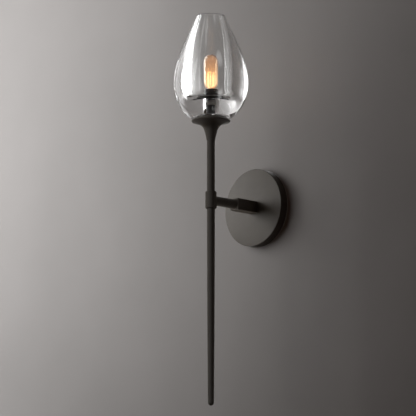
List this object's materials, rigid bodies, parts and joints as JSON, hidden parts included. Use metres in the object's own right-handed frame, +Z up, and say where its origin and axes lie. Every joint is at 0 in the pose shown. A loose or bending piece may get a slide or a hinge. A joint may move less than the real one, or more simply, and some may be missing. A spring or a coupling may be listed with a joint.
{
  "type": "wall sconce",
  "caption": "Wall sconce: a thick crystal bowl on a flared cup and slim stem, with a long tapered rod below, held off a round wall canopy by a short arm, lit by a screw-in tubular lamp.",
  "frame": {"origin": "on the wall, at the canopy's centre, midway between the two wall-box screw slots", "axes": "+Z up along the stem, +Y into the wall, +X to the right of a viewer who faces the wall"},
  "size_m": [0.121, 0.1647, 0.6098],
  "materials": {
    "bronze": "satin dark bronze",
    "zinc_steel": "zinc plated",
    "earth_brass": "plain",
    "clear_silicone": "pale translucent",
    "black_rubber": "matt black",
    "black_enamel": "satin black",
    "crystal": "polished clear",
    "black_moulding": "satin black",
    "contact_brass": "pressed",
    "solder": "soldered",
    "black_glass": "glossy",
    "cap_nickel": "nickel plated",
    "amber_glass": "amber tint",
    "lamp_foot_glass": "clear",
    "support_wire": "drawn",
    "glowing_filament": "glowing",
    "black_insulation": "smooth",
    "white_insulation": "smooth",
    "white_moulding": "smooth"
  },
  "bodies": {
    "fixture": {"canopy": "bronze", "wall_bracket": "zinc_steel", "canopy_screws": "bronze", "earth_screw": "earth_brass", "arm_block": "bronze", "arm_pipe": "zinc_steel", "arm_washer": "zinc_steel", "arm_nut": "zinc_steel", "arm_tube": "bronze", "arm_stub": "zinc_steel", "collar": "bronze", "collar_screw": "bronze", "stem": "bronze", "lower_rod": "bronze", "cup": "bronze", "seat_gasket": "black_rubber", "glass_shade": "crystal", "hole_bush": "black_rubber", "floor_gasket": "clear_silicone", "retaining_disc": "black_enamel", "lamp_pipe": "bronze", "holder_body": "black_moulding", "holder_shell": "contact_brass", "holder_contact": "contact_brass", "holder_cover": "black_moulding", "live_lead": "black_insulation", "neutral_lead": "white_insulation", "terminal_block": "white_moulding", "terminal_screws": "earth_brass"},
    "lamp_foot": {"lamp_tip": "solder"},
    "lamp": {"lamp_insulator": "black_glass", "lamp_cap": "cap_nickel", "lamp_envelope": "amber_glass", "lamp_mount": "lamp_foot_glass", "lamp_post": "lamp_foot_glass", "lamp_supports": "support_wire", "lamp_filament": "glowing_filament"}
  },
  "joints": [
    {"name": "lamp_rise", "type": "slide", "parent": "fixture", "child": "lamp_foot", "axis": [0, 0, 1], "range_m": [0, 0.0078]},
    {"name": "lamp_turn", "type": "hinge", "parent": "lamp_foot", "child": "lamp", "pos_m": [0, -0.107, 0.17], "axis": [0, 0, 1], "range_deg": [0, 1080]}
  ],
  "couplings": [
    {"joint": "lamp_rise", "follows": "lamp_turn", "m_per_rad": 0.00040425}
  ]
}
